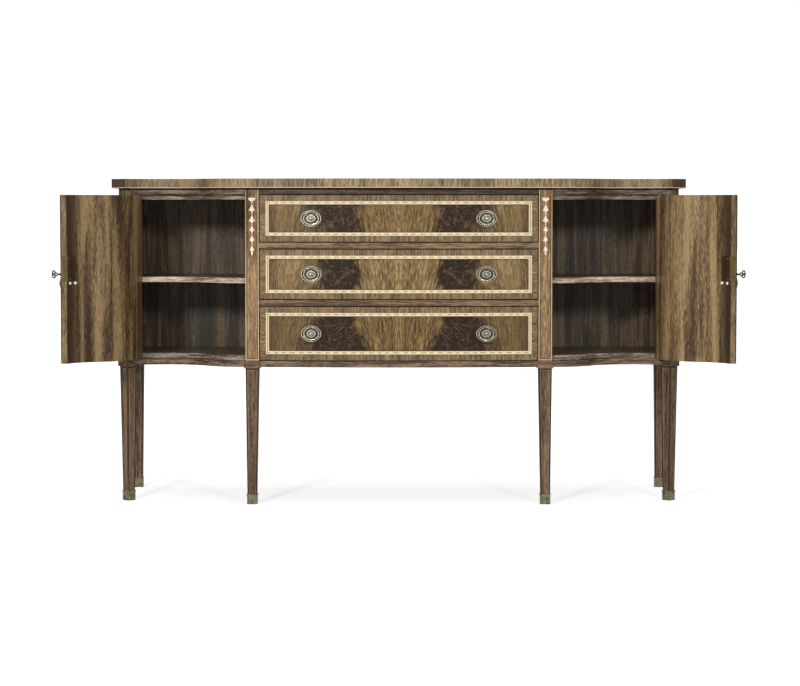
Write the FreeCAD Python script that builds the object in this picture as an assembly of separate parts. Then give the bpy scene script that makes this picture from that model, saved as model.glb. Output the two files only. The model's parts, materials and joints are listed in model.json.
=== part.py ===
import FreeCAD, Part
import math
import os

# Breakfront sideboard: a bowed middle of three drawers between two hollow-fronted cupboards.
# Millimetres. X runs along the front, Y from the front to the back, Z up from the floor.
# Pieces are drawn with Y zero at the front of the stiles, then centred on the depth of the case.

# Case
case_width = 1636.0
case_depth = 470.0
overall_height = 942.0
top_thickness = 27.0
top_overhang = 20.0
leg_height = 399.0

# Plan of the front: bow of the drawers, hollow of the cupboards, return to the corners
drawer_bay_width = 806.0
bow_rise = 25.0
hollow_depth = 116.0
hollow_place_share = 0.612
corner_rise = 28.0
return_share = 0.45

# Legs and their sleeves
stile_width = 39.5
stile_foot = 27.0
stile_foot_shift = 2.0
corner_leg_side = 35.0
corner_foot = 24.0
rear_leg_side = 35.0
rear_foot = 24.0
ferrule_height = 29.0
ferrule_floor = 3.0
ferrule_wall = 1.1
ferrule_lip = 0.9
ferrule_lip_height = 4.0
collar_proud = 4.0
collar_drop = 4.0

# Boards and rails
rail_height = 18.0
rail_depth = 45.0
divider_height = 17.5
partition_thickness = 18.0
end_thickness = 18.0
back_thickness = 8.0
board_thickness = 15.0
shelf_thickness = 16.0
shelf_height = 640.0
shelf_inset = 27.0
shelf_clearance = 1.0
pin_radius = 3.0
pin_reach = 10.0
pin_depth = 9.0
pin_front = 75.0
pin_back = 70.0

# Drawers, from the top one down
drawer_height_shares = (0.312, 0.331, 0.357)
drawer_gap = 1.8
drawer_front_thickness = 22.0
drawer_side_thickness = 12.0
drawer_side_clearance = 1.5
drawer_side_drop = 14.0
drawer_bottom_thickness = 6.0
drawer_bottom_lift = 8.0
drawer_groove = 5.0
drawer_back_room = 45.0
runner_reach = 18.0
runner_clearance = 0.3
guide_height = 14.0
guide_clearance = 1.0

# Doors and their pivot hinges, opened to the angle of the photograph
door_thickness = 20.0
door_gap = 2.5
door_stop_gap = 1.0
door_rest_angle = 105.0
hinge_set = 6.3
hinge_inset = 4.5
leaf_width = 7.5
leaf_length = 45.0
leaf_thickness = 2.5
pivot_radius = 2.0
pivot_clearance = 0.05
pivot_end_clearance = 0.3
pivot_collar = 1.4

# Locks, bolts and keys
lock_height = 71.0
lock_width = 30.0
lock_depth = 12.0
lock_below_key = 20.0
cap_proud = 1.5
selvedge_thickness = 2.0
selvedge_width = 15.0
bolt_height = 12.0
bolt_thickness = 5.0
bolt_length = 22.0
bolt_throw = 8.0
bolt_clearance = 0.3
bolt_above_key = 9.0
key_height = 671.0
key_backset = 15.0
key_radius = 2.4
key_clearance = 0.05
keyhole_clearance = 0.8
key_stem = 15.5
key_collar_radius = 3.7
key_collar_length = 3.0
bit_reach = 7.0
bit_thickness = 1.6
bit_depth = 5.0
bit_room = 0.6
bow_lobe = 6.4
bow_eye = 3.6
bow_thickness = 3.0
bow_spread = 5.8
bow_step = 6.2
strike_thickness = 1.5
strike_margin = 5.0
strike_clearance = 1.0

# Oval ring pulls
pull_half_width = 29.5
pull_half_height = 23.5
pull_end_share = 0.74
plate_thickness = 1.5
rim_width = 2.2
rim_height = 1.1
dome_inset = 11.0
dome_height = 2.6
dome_foot = 0.6
button_radius = 4.6
button_neck = 3.0
button_height = 6.4
ring_inset = 5.0
ring_wire = 1.6
ring_gap = 0.6
ring_pin = 1.9
ring_pin_clearance = 0.05
ring_pin_overhang = 1.0
knuckle_width = 6.0
knuckle_wall = 1.0
stud_radius = 2.2
stud_clearance = 0.2
stud_spacing = 26.0
nut_radius = 4.0
nut_height = 4.0
pull_place = 252.0
door_pull_place = 32.0
door_pull_drop = 25.0

# One overrun serves every cut
overrun = 6.0

# Levels
case_top = overall_height - top_thickness
frieze_bottom = case_top - rail_height
rail_top = leg_height + rail_height
floor_top = rail_top + board_thickness
ceiling_bottom = frieze_bottom - board_thickness
door_bottom = rail_top + door_gap
door_top = frieze_bottom - door_gap

# Plan of the front, right half
root_two = math.sqrt(2)
quarter_turn = math.pi / 2
bay_half = drawer_bay_width / 2
stile_x = bay_half + stile_width
end_x = case_width / 2
end_inner = end_x - end_thickness
back_inner = case_depth - back_thickness
bow_radius = (bay_half ** 2 + bow_rise ** 2) / (2 * bow_rise)
bow_centre = bow_radius - bow_rise
corner_reach = corner_leg_side / root_two
corner_x = end_x - corner_reach
corner_y = hollow_depth - corner_rise + corner_reach
corner_face_sum = corner_x + corner_y - corner_reach
valley_x = stile_x + hollow_place_share * (end_x - stile_x)
ogee_run = valley_x - stile_x
ogee_radius = (ogee_run ** 2 + hollow_depth ** 2) / (4 * hollow_depth)
ogee_turn = 2 * math.atan2(hollow_depth, ogee_run)
return_run = corner_x - return_share * corner_reach - valley_x
return_fall = corner_rise - return_share * corner_reach
return_radius = (return_run ** 2 + return_fall ** 2) / (2 * return_fall)
return_centre = hollow_depth - return_radius


def vec(x, y, z=0):
    return FreeCAD.Vector(x, y, z)


def block(x_span, y_span, z_span):
    """Straight board between two places along each axis."""
    low = vec(x_span[0], y_span[0], z_span[0])
    return Part.makeBox(x_span[1] - x_span[0], y_span[1] - y_span[0], z_span[1] - z_span[0], low)


def slab(edges, z_span):
    """Board of one closed plan outline."""
    board = Part.Face(Part.Wire(edges)).extrude(vec(0, 0, z_span[1] - z_span[0]))
    board.translate(vec(0, 0, z_span[0]))
    return board


def lines(points):
    """Straight edges from point to point."""
    return [Part.makeLine(a, b) for a, b in zip(points, points[1:])]


def bend(centre, radius, start, end):
    """Arc about a centre in plan, between two angles."""
    angles = (start, (start + end) / 2, end)
    places = [centre + vec(radius * math.cos(a), radius * math.sin(a)) for a in angles]
    return Part.Arc(*places).toShape()


def joined(shapes):
    """One solid of several that overlap."""
    whole = shapes[0].multiFuse(shapes[1:])
    return whole.removeSplitter()


def mirrored(shape):
    return shape.mirror(vec(0, 0), vec(1, 0))


def pair(shape):
    """A right-hand piece with its left-hand twin."""
    return [shape, mirrored(shape)]


# Curves of the front

def bow_y(x, inset):
    """Depth of the bow at one place across the front."""
    return bow_centre - math.sqrt((bow_radius - inset) ** 2 - x ** 2)


def bow_arc(half_width, inset):
    """Bowed edge across the middle, set in from the drawer fronts."""
    places = [vec(x, bow_y(x, inset)) for x in (-half_width, 0, half_width)]
    return Part.Arc(*places).toShape()


def bow_board(half_width, inset, back, z_span):
    """Board with a bowed front edge and a straight back edge."""
    sides = [vec(half_width, bow_y(half_width, inset)), vec(half_width, back)]
    sides += [vec(-half_width, back), vec(-half_width, bow_y(half_width, inset))]
    return slab([bow_arc(half_width, inset)] + lines(sides), z_span)


def return_meets(inset, total):
    """Where the return to the corner meets a line at 45 degrees, given by its x plus y."""
    along = (total - valley_x - return_centre) / root_two
    across = math.sqrt((return_radius + inset) ** 2 - along ** 2)
    return vec(valley_x + (along - across) / root_two, return_centre + (along + across) / root_two)


def return_angle(place):
    return math.atan2(place.y - return_centre, place.x - valley_x)


def wing_curve(inset, start_x, end_angle):
    """Shoulder, hollow and return of a cupboard front, set in from its face."""
    shoulder = ogee_radius - inset
    start = math.asin((start_x - stile_x) / shoulder) - quarter_turn
    shoulder_arc = bend(vec(stile_x, ogee_radius), shoulder, start, ogee_turn - quarter_turn)
    hollow_middle = vec(valley_x, hollow_depth - ogee_radius)
    hollow_arc = bend(hollow_middle, ogee_radius + inset, quarter_turn + ogee_turn, quarter_turn)
    return_middle = vec(valley_x, return_centre)
    return_arc = bend(return_middle, return_radius + inset, quarter_turn, end_angle)
    return [shoulder_arc, hollow_arc, return_arc]


def first_point(edges):
    return edges[0].valueAt(edges[0].FirstParameter)


def last_point(edges):
    return edges[-1].valueAt(edges[-1].LastParameter)


def wing_rail(z_span):
    """Curved rail from the stile to the inner face of the corner leg."""
    front = wing_curve(0, stile_x, return_angle(return_meets(0, corner_face_sum)))
    back = wing_curve(rail_depth, stile_x, return_angle(return_meets(rail_depth, corner_face_sum)))
    end = lines([last_point(front), last_point(back)])
    start = lines([first_point(back), first_point(front)])
    return slab(front + end + back[::-1] + start, z_span)


def bay_board(inset, clearance, z_span):
    """Floor, ceiling or shelf of a cupboard, fitted round the legs."""
    left = stile_x + clearance
    right = end_inner - clearance
    back = back_inner - clearance
    front = wing_curve(inset, left, return_angle(return_meets(inset, corner_x + corner_y)))
    corner = last_point(front)
    rest = [corner, vec(right, corner.y), vec(right, back), vec(left, back), first_point(front)]
    board = slab(front + lines(rest), z_span)
    corner_room = square_post(corner_x, corner_y, corner_leg_side + 2 * clearance, math.pi / 4, z_span)
    rear_room = block(
        (end_x - rear_leg_side - clearance, end_x),
        (case_depth - rear_leg_side - clearance, case_depth),
        z_span,
    )
    return board.cut(corner_room).cut(rear_room)


# Legs

def square_wire(x, y, z, side, turn):
    """Square section of a leg, turned about its middle."""
    reach = side / root_two
    angles = [turn + math.pi / 4 + k * quarter_turn for k in range(4)]
    corners = [vec(x + reach * math.cos(a), y + reach * math.sin(a), z) for a in angles]
    return Part.makePolygon(corners + corners[:1])


def square_post(x, y, side, turn, z_span):
    post = Part.Face(square_wire(x, y, z_span[0], side, turn))
    return post.extrude(vec(0, 0, z_span[1] - z_span[0]))


def tapered(x, y, foot_x, side, foot, turn, z_span):
    """Square taper from a foot up to the full section."""
    low = square_wire(foot_x, y, z_span[0], foot, turn)
    high = square_wire(x, y, z_span[1], side, turn)
    return Part.makeLoft([low, high], True, True)


def leg(x, y, foot_x, side, foot, turn):
    """Leg and post in one length, with the foot inside its sleeve."""
    taper = tapered(x, y, foot_x, side, foot, turn, (ferrule_floor, leg_height))
    return joined([taper, square_post(x, y, side, turn, (leg_height, case_top))])


def collar(x, y, side, turn):
    """Band round a leg at the level of the lower rails, hung a little below them."""
    return square_post(x, y, side + 2 * collar_proud, turn, (leg_height - collar_drop, rail_top))


def ferrule(x, y, foot_x, side, foot, turn):
    """Cast sleeve with a lip, fitted round the tapered foot."""
    share = (ferrule_height - ferrule_floor) / (leg_height - ferrule_floor)
    neck = foot + (side - foot) * share
    neck_x = foot_x + (x - foot_x) * share
    wall = 2 * ferrule_wall
    sleeve = tapered(neck_x, y, foot_x, neck + wall, foot + wall, turn, (0, ferrule_height))
    lip_span = (ferrule_height - ferrule_lip_height, ferrule_height)
    lip = square_post(neck_x, y, neck + wall + 2 * ferrule_lip, turn, lip_span)
    return joined([sleeve, lip]).cut(leg(x, y, foot_x, side, foot, turn))


stile_middle = bay_half + stile_width / 2
stile_foot_x = stile_middle + stile_foot_shift
stile_leg_form = (stile_middle, stile_width / 2, stile_foot_x, stile_width, stile_foot, 0)
corner_leg_form = (corner_x, corner_y, corner_x, corner_leg_side, corner_foot, math.pi / 4)
rear_x = end_x - rear_leg_side / 2
rear_y = case_depth - rear_leg_side / 2
rear_leg_form = (rear_x, rear_y, rear_x, rear_leg_side, rear_foot, 0)


# Top and case boards

def top_board():
    """Top that follows the front of the case at an even overhang, with canted corners."""
    half_bow = math.sqrt((bow_radius + top_overhang) ** 2 - (bow_centre + top_overhang) ** 2)
    face_sum = corner_face_sum - top_overhang * root_two
    wing = wing_curve(-top_overhang, stile_x, return_angle(return_meets(-top_overhang, face_sum)))
    side = end_x + top_overhang
    arris = vec(corner_x, corner_y - corner_reach - top_overhang * root_two)
    cant_end = vec(side, arris.y + side - corner_x)
    shoulder = lines([vec(half_bow, -top_overhang), first_point(wing)])
    corner = lines([last_point(wing), arris, cant_end, vec(side, case_depth)])
    right = shoulder + wing + corner
    left = [mirrored(edge) for edge in right[::-1]]
    back = lines([vec(side, case_depth), vec(-side, case_depth)])
    outline = [bow_arc(half_bow, -top_overhang)] + right + back + left
    return slab(outline, (case_top, overall_height))


def end_panel():
    """End board, mitred to the back of the turned corner leg."""
    rear = case_depth - rear_leg_side
    plan = [vec(end_x, corner_y), vec(end_x, rear), vec(end_inner, rear)]
    plan += [vec(end_inner, corner_y + end_thickness), vec(end_x, corner_y)]
    return slab(lines(plan), (leg_height, case_top))


def partition():
    """Upright board behind a stile, between the drawers and a cupboard."""
    return block((stile_x - partition_thickness, stile_x), (stile_width, back_inner), (leg_height, case_top))


def back_panel():
    reach = end_x - rear_leg_side
    return block((-reach, reach), (back_inner, case_depth), (leg_height, case_top))


def middle_rail(z_span):
    """Bowed rail or drawer divider between the stiles."""
    return bow_board(bay_half, 0, rail_depth, z_span)


def drawer_openings():
    """Clear height of each drawer opening, from the top one down."""
    clear = frieze_bottom - rail_top - 2 * divider_height
    spans = []
    level = frieze_bottom
    for share in drawer_height_shares:
        spans.append((level - clear * share, level))
        level -= clear * share + divider_height
    return spans


openings = drawer_openings()
guide_x = stile_x - partition_thickness


def runner(opening, height):
    """Rebated strip under one side of a drawer, with the guide that keeps it straight."""
    low = opening[0] - height
    high = opening[0] + guide_height
    inner = bay_half - runner_reach
    guide = bay_half - drawer_side_clearance + guide_clearance
    profile = [vec(inner, rail_depth, low), vec(guide_x, rail_depth, low), vec(guide_x, rail_depth, high)]
    profile += [vec(guide, rail_depth, high), vec(guide, rail_depth, opening[0])]
    profile += [vec(inner, rail_depth, opening[0]), vec(inner, rail_depth, low)]
    return Part.Face(Part.makePolygon(profile)).extrude(vec(0, back_inner - rail_depth, 0))


def drawer_runners():
    """Three pairs of runners and the pair of kickers over the top drawer."""
    strips = []
    for opening, height in zip(openings, (divider_height, divider_height, rail_height)):
        strips += pair(runner(opening, height))
    kicker = block((bay_half - runner_reach, guide_x), (rail_depth, back_inner), (frieze_bottom, case_top))
    return Part.makeCompound(strips + pair(kicker))


def shelf_pins():
    """Four pins under a shelf, two in the partition and two in the end panel."""
    level = shelf_height - pin_radius
    length = pin_depth + pin_reach
    pins = []
    for y in (hollow_depth + pin_front, back_inner - pin_back):
        pins.append(Part.makeCylinder(pin_radius, length, vec(stile_x - pin_depth, y, level), vec(1, 0)))
        pins.append(Part.makeCylinder(pin_radius, length, vec(end_inner - pin_reach, y, level), vec(1, 0)))
    return pins


# Pivot hinges

pivot = return_meets(hinge_inset, corner_face_sum - hinge_set * root_two)
pivot_angle = return_angle(pivot)


def on_pivot(shape):
    """Set a piece drawn along X on the hinge axis, in line with the closed door."""
    shape.rotate(vec(0, 0), vec(0, 0, 1), math.degrees(pivot_angle - quarter_turn))
    shape.translate(pivot)
    return shape


def leaf(z_span):
    """Plate with one round end about the hinge axis."""
    plate = block((-leaf_length, 0), (-leaf_width / 2, leaf_width / 2), z_span)
    nose = Part.makeCylinder(leaf_width / 2, z_span[1] - z_span[0], vec(0, 0, z_span[0]))
    return on_pivot(joined([plate, nose]))


def pivot_bar(radius, z_span):
    return on_pivot(Part.makeCylinder(radius, z_span[1] - z_span[0], vec(0, 0, z_span[0])))


low_leaf_span = (rail_top - leaf_thickness, rail_top)
high_leaf_span = (frieze_bottom, frieze_bottom + leaf_thickness)
door_low_span = (door_bottom, door_bottom + leaf_thickness)
door_high_span = (door_top - leaf_thickness, door_top)


def case_leaves():
    """Lower leaf with pivot and collar, upper leaf with pivot."""
    reach = door_gap + leaf_thickness - pivot_end_clearance
    low_bar = pivot_bar(pivot_radius, (low_leaf_span[0], rail_top + reach))
    collar = pivot_bar(pivot_radius + pivot_collar, (rail_top, door_bottom - pivot_end_clearance))
    high_bar = pivot_bar(pivot_radius, (frieze_bottom - reach, high_leaf_span[1]))
    return [joined([leaf(low_leaf_span), low_bar, collar]), joined([leaf(high_leaf_span), high_bar])]


def door_leaves():
    """Leaves let into both ends of a door, bored for the pivots."""
    bore = pivot_bar(pivot_radius + pivot_clearance, (rail_top, frieze_bottom))
    return [leaf(span).cut(bore) for span in (door_low_span, door_high_span)]


# Doors, drawn shut

door_edge = stile_x + door_gap
lock_back = door_thickness + cap_proud
lock_front = lock_back - lock_depth
lock_bottom = key_height - lock_below_key
lock_span = (lock_bottom, lock_bottom + lock_height)
key_x = door_edge + key_backset
bolt_span = (key_height + bolt_above_key, key_height + bolt_above_key + bolt_height)
bolt_middle = lock_front + lock_depth / 2
bolt_depth_span = (bolt_middle - bolt_thickness / 2, bolt_middle + bolt_thickness / 2)
bit_span = (bolt_middle - bit_depth / 2, bolt_middle + bit_depth / 2)
door_pull_x = door_edge + door_pull_place
door_pull_turn = math.asin((door_pull_x - stile_x) / ogee_radius)
door_pull_y = ogee_radius - ogee_radius * math.cos(door_pull_turn)
door_pull_point = vec(door_pull_x, door_pull_y, key_height - door_pull_drop)


def wider(span, room):
    """A span with the same room added at both ends."""
    return (span[0] - room, span[1] + room)


def door_blank():
    """Serpentine door, rounded about the pivot and bevelled along the corner leg at its hinge edge."""
    front = wing_curve(0, door_edge, pivot_angle)
    nose = bend(pivot, hinge_inset, pivot_angle - math.pi, math.pi / 4)
    bevel_sum = pivot.x + pivot.y + hinge_inset * root_two
    back = wing_curve(door_thickness, door_edge, return_angle(return_meets(door_thickness, bevel_sum)))
    hinge_edge = lines([last_point([nose]), last_point(back)])
    free_edge = lines([first_point(back), first_point(front)])
    return slab(front + [nose] + hinge_edge + back[::-1] + free_edge, (door_bottom, door_top))


def lock_envelope():
    """Lock box and the plate on the door's edge, as one form."""
    box = block((door_edge, door_edge + lock_width), (lock_front, lock_back), lock_span)
    plate_depth = (lock_back - selvedge_width, lock_back)
    plate = block((door_edge, door_edge + selvedge_thickness), plate_depth, lock_span)
    return joined([box, plate])


def lock_pocket():
    """Room for the lock, open to the inside of the door."""
    over = block((door_edge, door_edge + lock_width), (lock_front, lock_back + overrun), lock_span)
    return joined([lock_envelope(), over])


def bar_along_y(x, z, radius, y_span):
    return Part.makeCylinder(radius, y_span[1] - y_span[0], vec(x, y_span[0], z), vec(0, 1))


def lock_case():
    """Lock with its bolt channel, the room for the bit and the bore for the key."""
    channel = block(
        (door_edge - overrun, door_edge + bolt_length + bolt_clearance),
        wider(bolt_depth_span, bolt_clearance),
        wider(bolt_span, bolt_clearance),
    )
    bit_cell = bar_along_y(key_x, key_height, bit_reach + bit_room, wider(bit_span, bit_room))
    bore = bar_along_y(key_x, key_height, key_radius + key_clearance, (-overrun, bit_span[1]))
    return lock_envelope().cut(channel).cut(bit_cell).cut(bore)


def lock_bolt():
    """Square bolt, drawn back flush with the edge of the door."""
    return block((door_edge + bolt_clearance, door_edge + bolt_length), bolt_depth_span, bolt_span)


def trefoil(y):
    """Openwork bow of three rings in the plane of the key."""
    low = -bow_thickness / 2
    middles = [vec(low, y - bow_lobe, bow_spread), vec(low, y - bow_lobe, -bow_spread)]
    middles.append(vec(low, y - bow_lobe - bow_step, 0))
    discs = [Part.makeCylinder(bow_lobe, bow_thickness, m, vec(1, 0)) for m in middles]
    eyes = [Part.makeCylinder(bow_eye, bow_thickness, m, vec(1, 0)) for m in middles]
    bow = joined(discs)
    for eye in eyes:
        bow = bow.cut(eye)
    return bow


def key():
    """Turned stem with a collar, a trefoil bow and a flat bit."""
    face = ogee_radius - math.sqrt(ogee_radius ** 2 - (key_x - stile_x) ** 2)
    bow_base = face - key_stem
    stem = bar_along_y(0, 0, key_radius, (bow_base - bow_lobe / 2, bit_span[1]))
    collar_middle = face - key_stem / 2
    collar_span = (collar_middle - key_collar_length / 2, collar_middle + key_collar_length / 2)
    collar = bar_along_y(0, 0, key_collar_radius, collar_span)
    bit = block((-bit_thickness / 2, bit_thickness / 2), bit_span, (-bit_reach, 0))
    whole = joined([stem, collar, trefoil(bow_base), bit])
    whole.translate(vec(key_x, 0, key_height))
    return whole


def strike():
    """Plate let into the side of the stile, with the mouth that takes the bolt."""
    depth = wider(bolt_depth_span, strike_margin)
    height = wider(bolt_span, strike_margin)
    return block((stile_x - strike_thickness, stile_x), depth, height).cut(strike_mouth())


def strike_mouth():
    """Mortise for the thrown bolt in the strike and the stile."""
    depth = wider(bolt_depth_span, strike_clearance)
    height = wider(bolt_span, strike_clearance)
    return block((stile_x - bolt_throw - strike_clearance, stile_x), depth, height)


# Oval ring pulls, drawn about their own middle with the front towards minus Y

def oval_edges(inset, y):
    """Oval of four arcs, set in evenly from the edge of the plate."""
    end = pull_end_share * pull_half_height
    width = pull_half_width - end
    flat = (width ** 2 + pull_half_height ** 2 - end ** 2) / (2 * (pull_half_height - end))
    sink = flat - pull_half_height
    lean = math.atan2(width, sink)
    long_arc = (flat, lean)
    short_arc = (end, quarter_turn - lean)
    middles = (vec(0, y, -sink), vec(width, y), vec(0, y, sink), vec(-width, y))
    edges = []
    for k, middle in enumerate(middles):
        radius, half = short_arc if k % 2 else long_arc
        heading = quarter_turn - k * quarter_turn
        angles = (heading + half, heading, heading - half)
        reach = radius - inset
        places = [middle + vec(reach * math.cos(a), 0, reach * math.sin(a)) for a in angles]
        edges.append(Part.Arc(*places).toShape())
    return edges


def oval_plate(inset, y_span):
    """Oval slice of the pull between two depths."""
    face = Part.Face(Part.Wire(oval_edges(inset, y_span[0])))
    return face.extrude(vec(0, y_span[1] - y_span[0], 0))


ring_stand = plate_thickness + ring_gap + ring_wire
ring_top = pull_half_height - ring_inset


def pull_front(back):
    """Backplate with raised rim, domed middle, button and the knuckle for the ring."""
    plate = oval_plate(0, (-plate_thickness, back))
    rim_span = (-plate_thickness - rim_height, -plate_thickness)
    rim = oval_plate(0, rim_span).cut(oval_plate(rim_width, rim_span))
    dome = oval_plate(dome_inset, (-plate_thickness - dome_height, -plate_thickness))
    edge = [e for e in dome.Edges if abs(e.CenterOfMass.y + plate_thickness + dome_height) < dome_foot]
    dome = dome.makeFillet(dome_height - dome_foot, edge)
    button_back = -plate_thickness - dome_height + dome_foot
    neck = bar_along_y(0, 0, button_neck, (-plate_thickness - button_height, button_back))
    button = Part.makeSphere(button_radius, vec(0, -plate_thickness - button_height))
    button = button.cut(bar_along_y(0, 0, 2 * button_radius, (-plate_thickness - button_height, 0)))
    outer = ring_pin + ring_pin_clearance + knuckle_wall
    ears = Part.makeCylinder(outer, knuckle_width, vec(-knuckle_width / 2, -ring_stand, ring_top), vec(1, 0))
    web = block((-knuckle_width / 2, knuckle_width / 2), (-ring_stand, 0), wider((ring_top, ring_top), outer))
    return joined([plate, rim, dome, neck, button, ears, web]).cut(ring_bore())


def ring_bore():
    """Bore of the knuckle that the ring hangs in."""
    length = knuckle_width + 2 * overrun
    start = vec(-length / 2, -ring_stand, ring_top)
    return Part.makeCylinder(ring_pin + ring_pin_clearance, length, start, vec(1, 0))


def pull_studs(length, radius):
    """Two studs through the wood behind a pull."""
    return [bar_along_y(s * stud_spacing / 2, 0, radius, (-plate_thickness, length)) for s in (-1, 1)]


def pull_nuts(length):
    """Round nuts on the inner ends of the studs."""
    return [bar_along_y(s * stud_spacing / 2, 0, nut_radius, (length - nut_height, length)) for s in (-1, 1)]


def ring():
    """Oval ring of round wire with a pin that turns in the knuckle."""
    path = Part.Wire(oval_edges(ring_inset, -ring_stand))
    start = path.Edges[0].valueAt(path.Edges[0].FirstParameter)
    heading = path.Edges[0].tangentAt(path.Edges[0].FirstParameter)
    section = Part.Wire(Part.makeCircle(ring_wire, start, heading))
    hoop = path.makePipeShell([section], True, True)
    half = knuckle_width / 2 + ring_pin_overhang
    pin = Part.makeCylinder(ring_pin, 2 * half, vec(-half, -ring_stand, ring_top), vec(1, 0))
    return hoop.fuse(pin)


def placed(shape, turn, place):
    """A copy turned to face along the local front and set at its place."""
    copy = shape.copy()
    copy.rotate(vec(0, 0), vec(0, 0, 1), math.degrees(turn))
    copy.translate(place)
    return copy


def pull_plate(seat, back, carrier, thickness):
    """Plate, studs and nuts of one pull, seated on both faces of the wood that carries it."""
    length = thickness + nut_height
    seated = [placed(shape, *seat).cut(carrier) for shape in [pull_front(back)] + pull_nuts(length)]
    studs = [placed(stud, *seat) for stud in pull_studs(length, stud_radius)]
    return joined(seated + studs)


def bored_for_pull(carrier, seat, thickness):
    """Wood with the two holes for the studs of a pull."""
    for hole in pull_studs(thickness + overrun, stud_radius + stud_clearance):
        carrier = carrier.cut(placed(hole, *seat))
    return carrier


# Drawers, drawn shut

def drawer_pull_seats(opening):
    """Turn and place of the left and right pull on a drawer front."""
    level = (opening[0] + opening[1]) / 2
    turn = math.asin(pull_place / bow_radius)
    return [(s * turn, vec(s * pull_place, bow_y(pull_place, 0), level)) for s in (-1, 1)]


def drawer(name, opening):
    """One drawer with its front, box, pulls and rings, by node name."""
    low = opening[0] + drawer_gap
    high = opening[1] - drawer_gap
    half = bay_half - drawer_gap
    front_back = bow_y(half, drawer_front_thickness)
    whole = bow_board(half, 0, front_back, (low, high))
    hollow = bow_board(half + overrun, drawer_front_thickness, front_back + overrun, (low, high))
    front = whole.cut(hollow)
    end = back_inner - drawer_back_room
    outer = bay_half - drawer_side_clearance
    inner = outer - drawer_side_thickness
    side_span = (opening[0] + runner_clearance, high - drawer_side_drop)
    bottom_low = low + drawer_bottom_lift
    bottom_span = (bottom_low, bottom_low + drawer_bottom_thickness)
    bottom_inset = drawer_front_thickness - drawer_groove
    bottom = bow_board(inner + drawer_groove, bottom_inset, end, bottom_span)
    side_start = bow_y(outer, drawer_front_thickness / 2)
    side = block((inner, outer), (side_start, end), side_span).cut(front).cut(bottom)
    back = block((-inner, inner), (end - drawer_side_thickness, end), (bottom_span[1], side_span[1]))
    front = front.cut(bottom)
    seats = drawer_pull_seats(opening)
    plates = [pull_plate(seat, 0, front, drawer_front_thickness) for seat in seats]
    for seat in seats:
        front = bored_for_pull(front, seat, drawer_front_thickness)
    return {
        name + "_front": front,
        name + "_box": Part.makeCompound(pair(side) + [back, bottom]),
        name + "_pull_plates": Part.makeCompound(plates),
        name + "_ring_left": placed(ring(), *seats[0]),
        name + "_ring_right": placed(ring(), *seats[1]),
    }


def door():
    """Right-hand door with its hinge leaves, lock, key and pull, opened to its rest angle."""
    blank = door_blank()
    seat = (door_pull_turn, door_pull_point)
    panel = blank.cut(lock_pocket())
    for span in (door_low_span, door_high_span):
        panel = panel.cut(leaf(span))
    panel = panel.cut(bar_along_y(key_x, key_height, key_radius + keyhole_clearance, (-overrun, lock_front)))
    pieces = {
        "panel": bored_for_pull(panel, seat, door_thickness),
        "hinge_leaves": Part.makeCompound(door_leaves()),
        "lock": lock_case(),
        "lock_bolt": lock_bolt(),
        "key": key(),
        "pull_plate": pull_plate(seat, overrun, blank, door_thickness),
        "ring": placed(ring(), *seat),
    }
    for piece in pieces.values():
        piece.rotate(pivot, vec(0, 0, 1), door_rest_angle)
    return pieces


def case_pieces():
    """Every fixed piece of the case, by node name."""
    pieces = {"top": top_board(), "back_panel": back_panel(), "drawer_runners": drawer_runners()}
    pins = shelf_pins()
    leaves = case_leaves()
    lower = wing_rail((leg_height, rail_top))
    upper = wing_rail((frieze_bottom, case_top))
    divider_spans = [(opening[0] - divider_height, opening[0]) for opening in openings[:2]]
    stop_inset = door_thickness + door_stop_gap
    plate = strike()
    side = end_panel()
    upright = partition()
    middle = middle_rail((leg_height, rail_top))
    corner_band = collar(corner_x, corner_y, corner_leg_side, math.pi / 4).cut(lower).cut(side)
    stile_band = collar(stile_middle, stile_width / 2, stile_width, 0).cut(lower).cut(middle).cut(upright)
    right = {
        "corner_leg": joined([leg(*corner_leg_form), corner_band]),
        "stile_leg": joined([leg(*stile_leg_form), stile_band]).cut(strike_mouth()).cut(plate),
        "rear_leg": leg(*rear_leg_form),
        "end_panel": side,
        "partition": upright,
        "frieze_rail": upper.cut(leaves[1]),
        "bottom_rail": lower.cut(leaves[0]),
        "bay_floor": bay_board(stop_inset, 0, (rail_top, floor_top)),
        "bay_ceiling": bay_board(stop_inset, 0, (ceiling_bottom, frieze_bottom)),
        "shelf": bay_board(shelf_inset, shelf_clearance, (shelf_height, shelf_height + shelf_thickness)),
    }
    for pin in pins:
        right["partition"] = right["partition"].cut(pin)
        right["end_panel"] = right["end_panel"].cut(pin)
    for name, shape in right.items():
        pieces[name + "_right"] = shape
        pieces[name + "_left"] = mirrored(shape)
    pieces["frieze_rail_centre"] = middle_rail((frieze_bottom, case_top))
    pieces["bottom_rail_centre"] = middle
    pieces["drawer_divider_upper"] = middle_rail(divider_spans[0])
    pieces["drawer_divider_lower"] = middle_rail(divider_spans[1])
    sleeves = [ferrule(*form) for form in (stile_leg_form, corner_leg_form, rear_leg_form)]
    for name, shapes in (("ferrules", sleeves), ("shelf_pins", pins), ("case_hinge_leaves", leaves)):
        pieces[name] = Part.makeCompound([twin for shape in shapes for twin in pair(shape)])
    pieces["strike_plates"] = Part.makeCompound(pair(plate))
    return pieces


def sideboard():
    """All pieces of the sideboard, by node name."""
    pieces = case_pieces()
    for name, shape in door().items():
        pieces["door_right_" + name] = shape
        pieces["door_left_" + name] = mirrored(shape)
    for name, opening in zip(("drawer_top", "drawer_middle", "drawer_bottom"), openings):
        pieces.update(drawer(name, opening))
    for shape in pieces.values():
        shape.translate(vec(0, -case_depth / 2))
    return pieces


os.makedirs("parts", exist_ok=True)
for node, solid in sideboard().items():
    solid.exportStep("parts/" + node + ".step")
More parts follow.
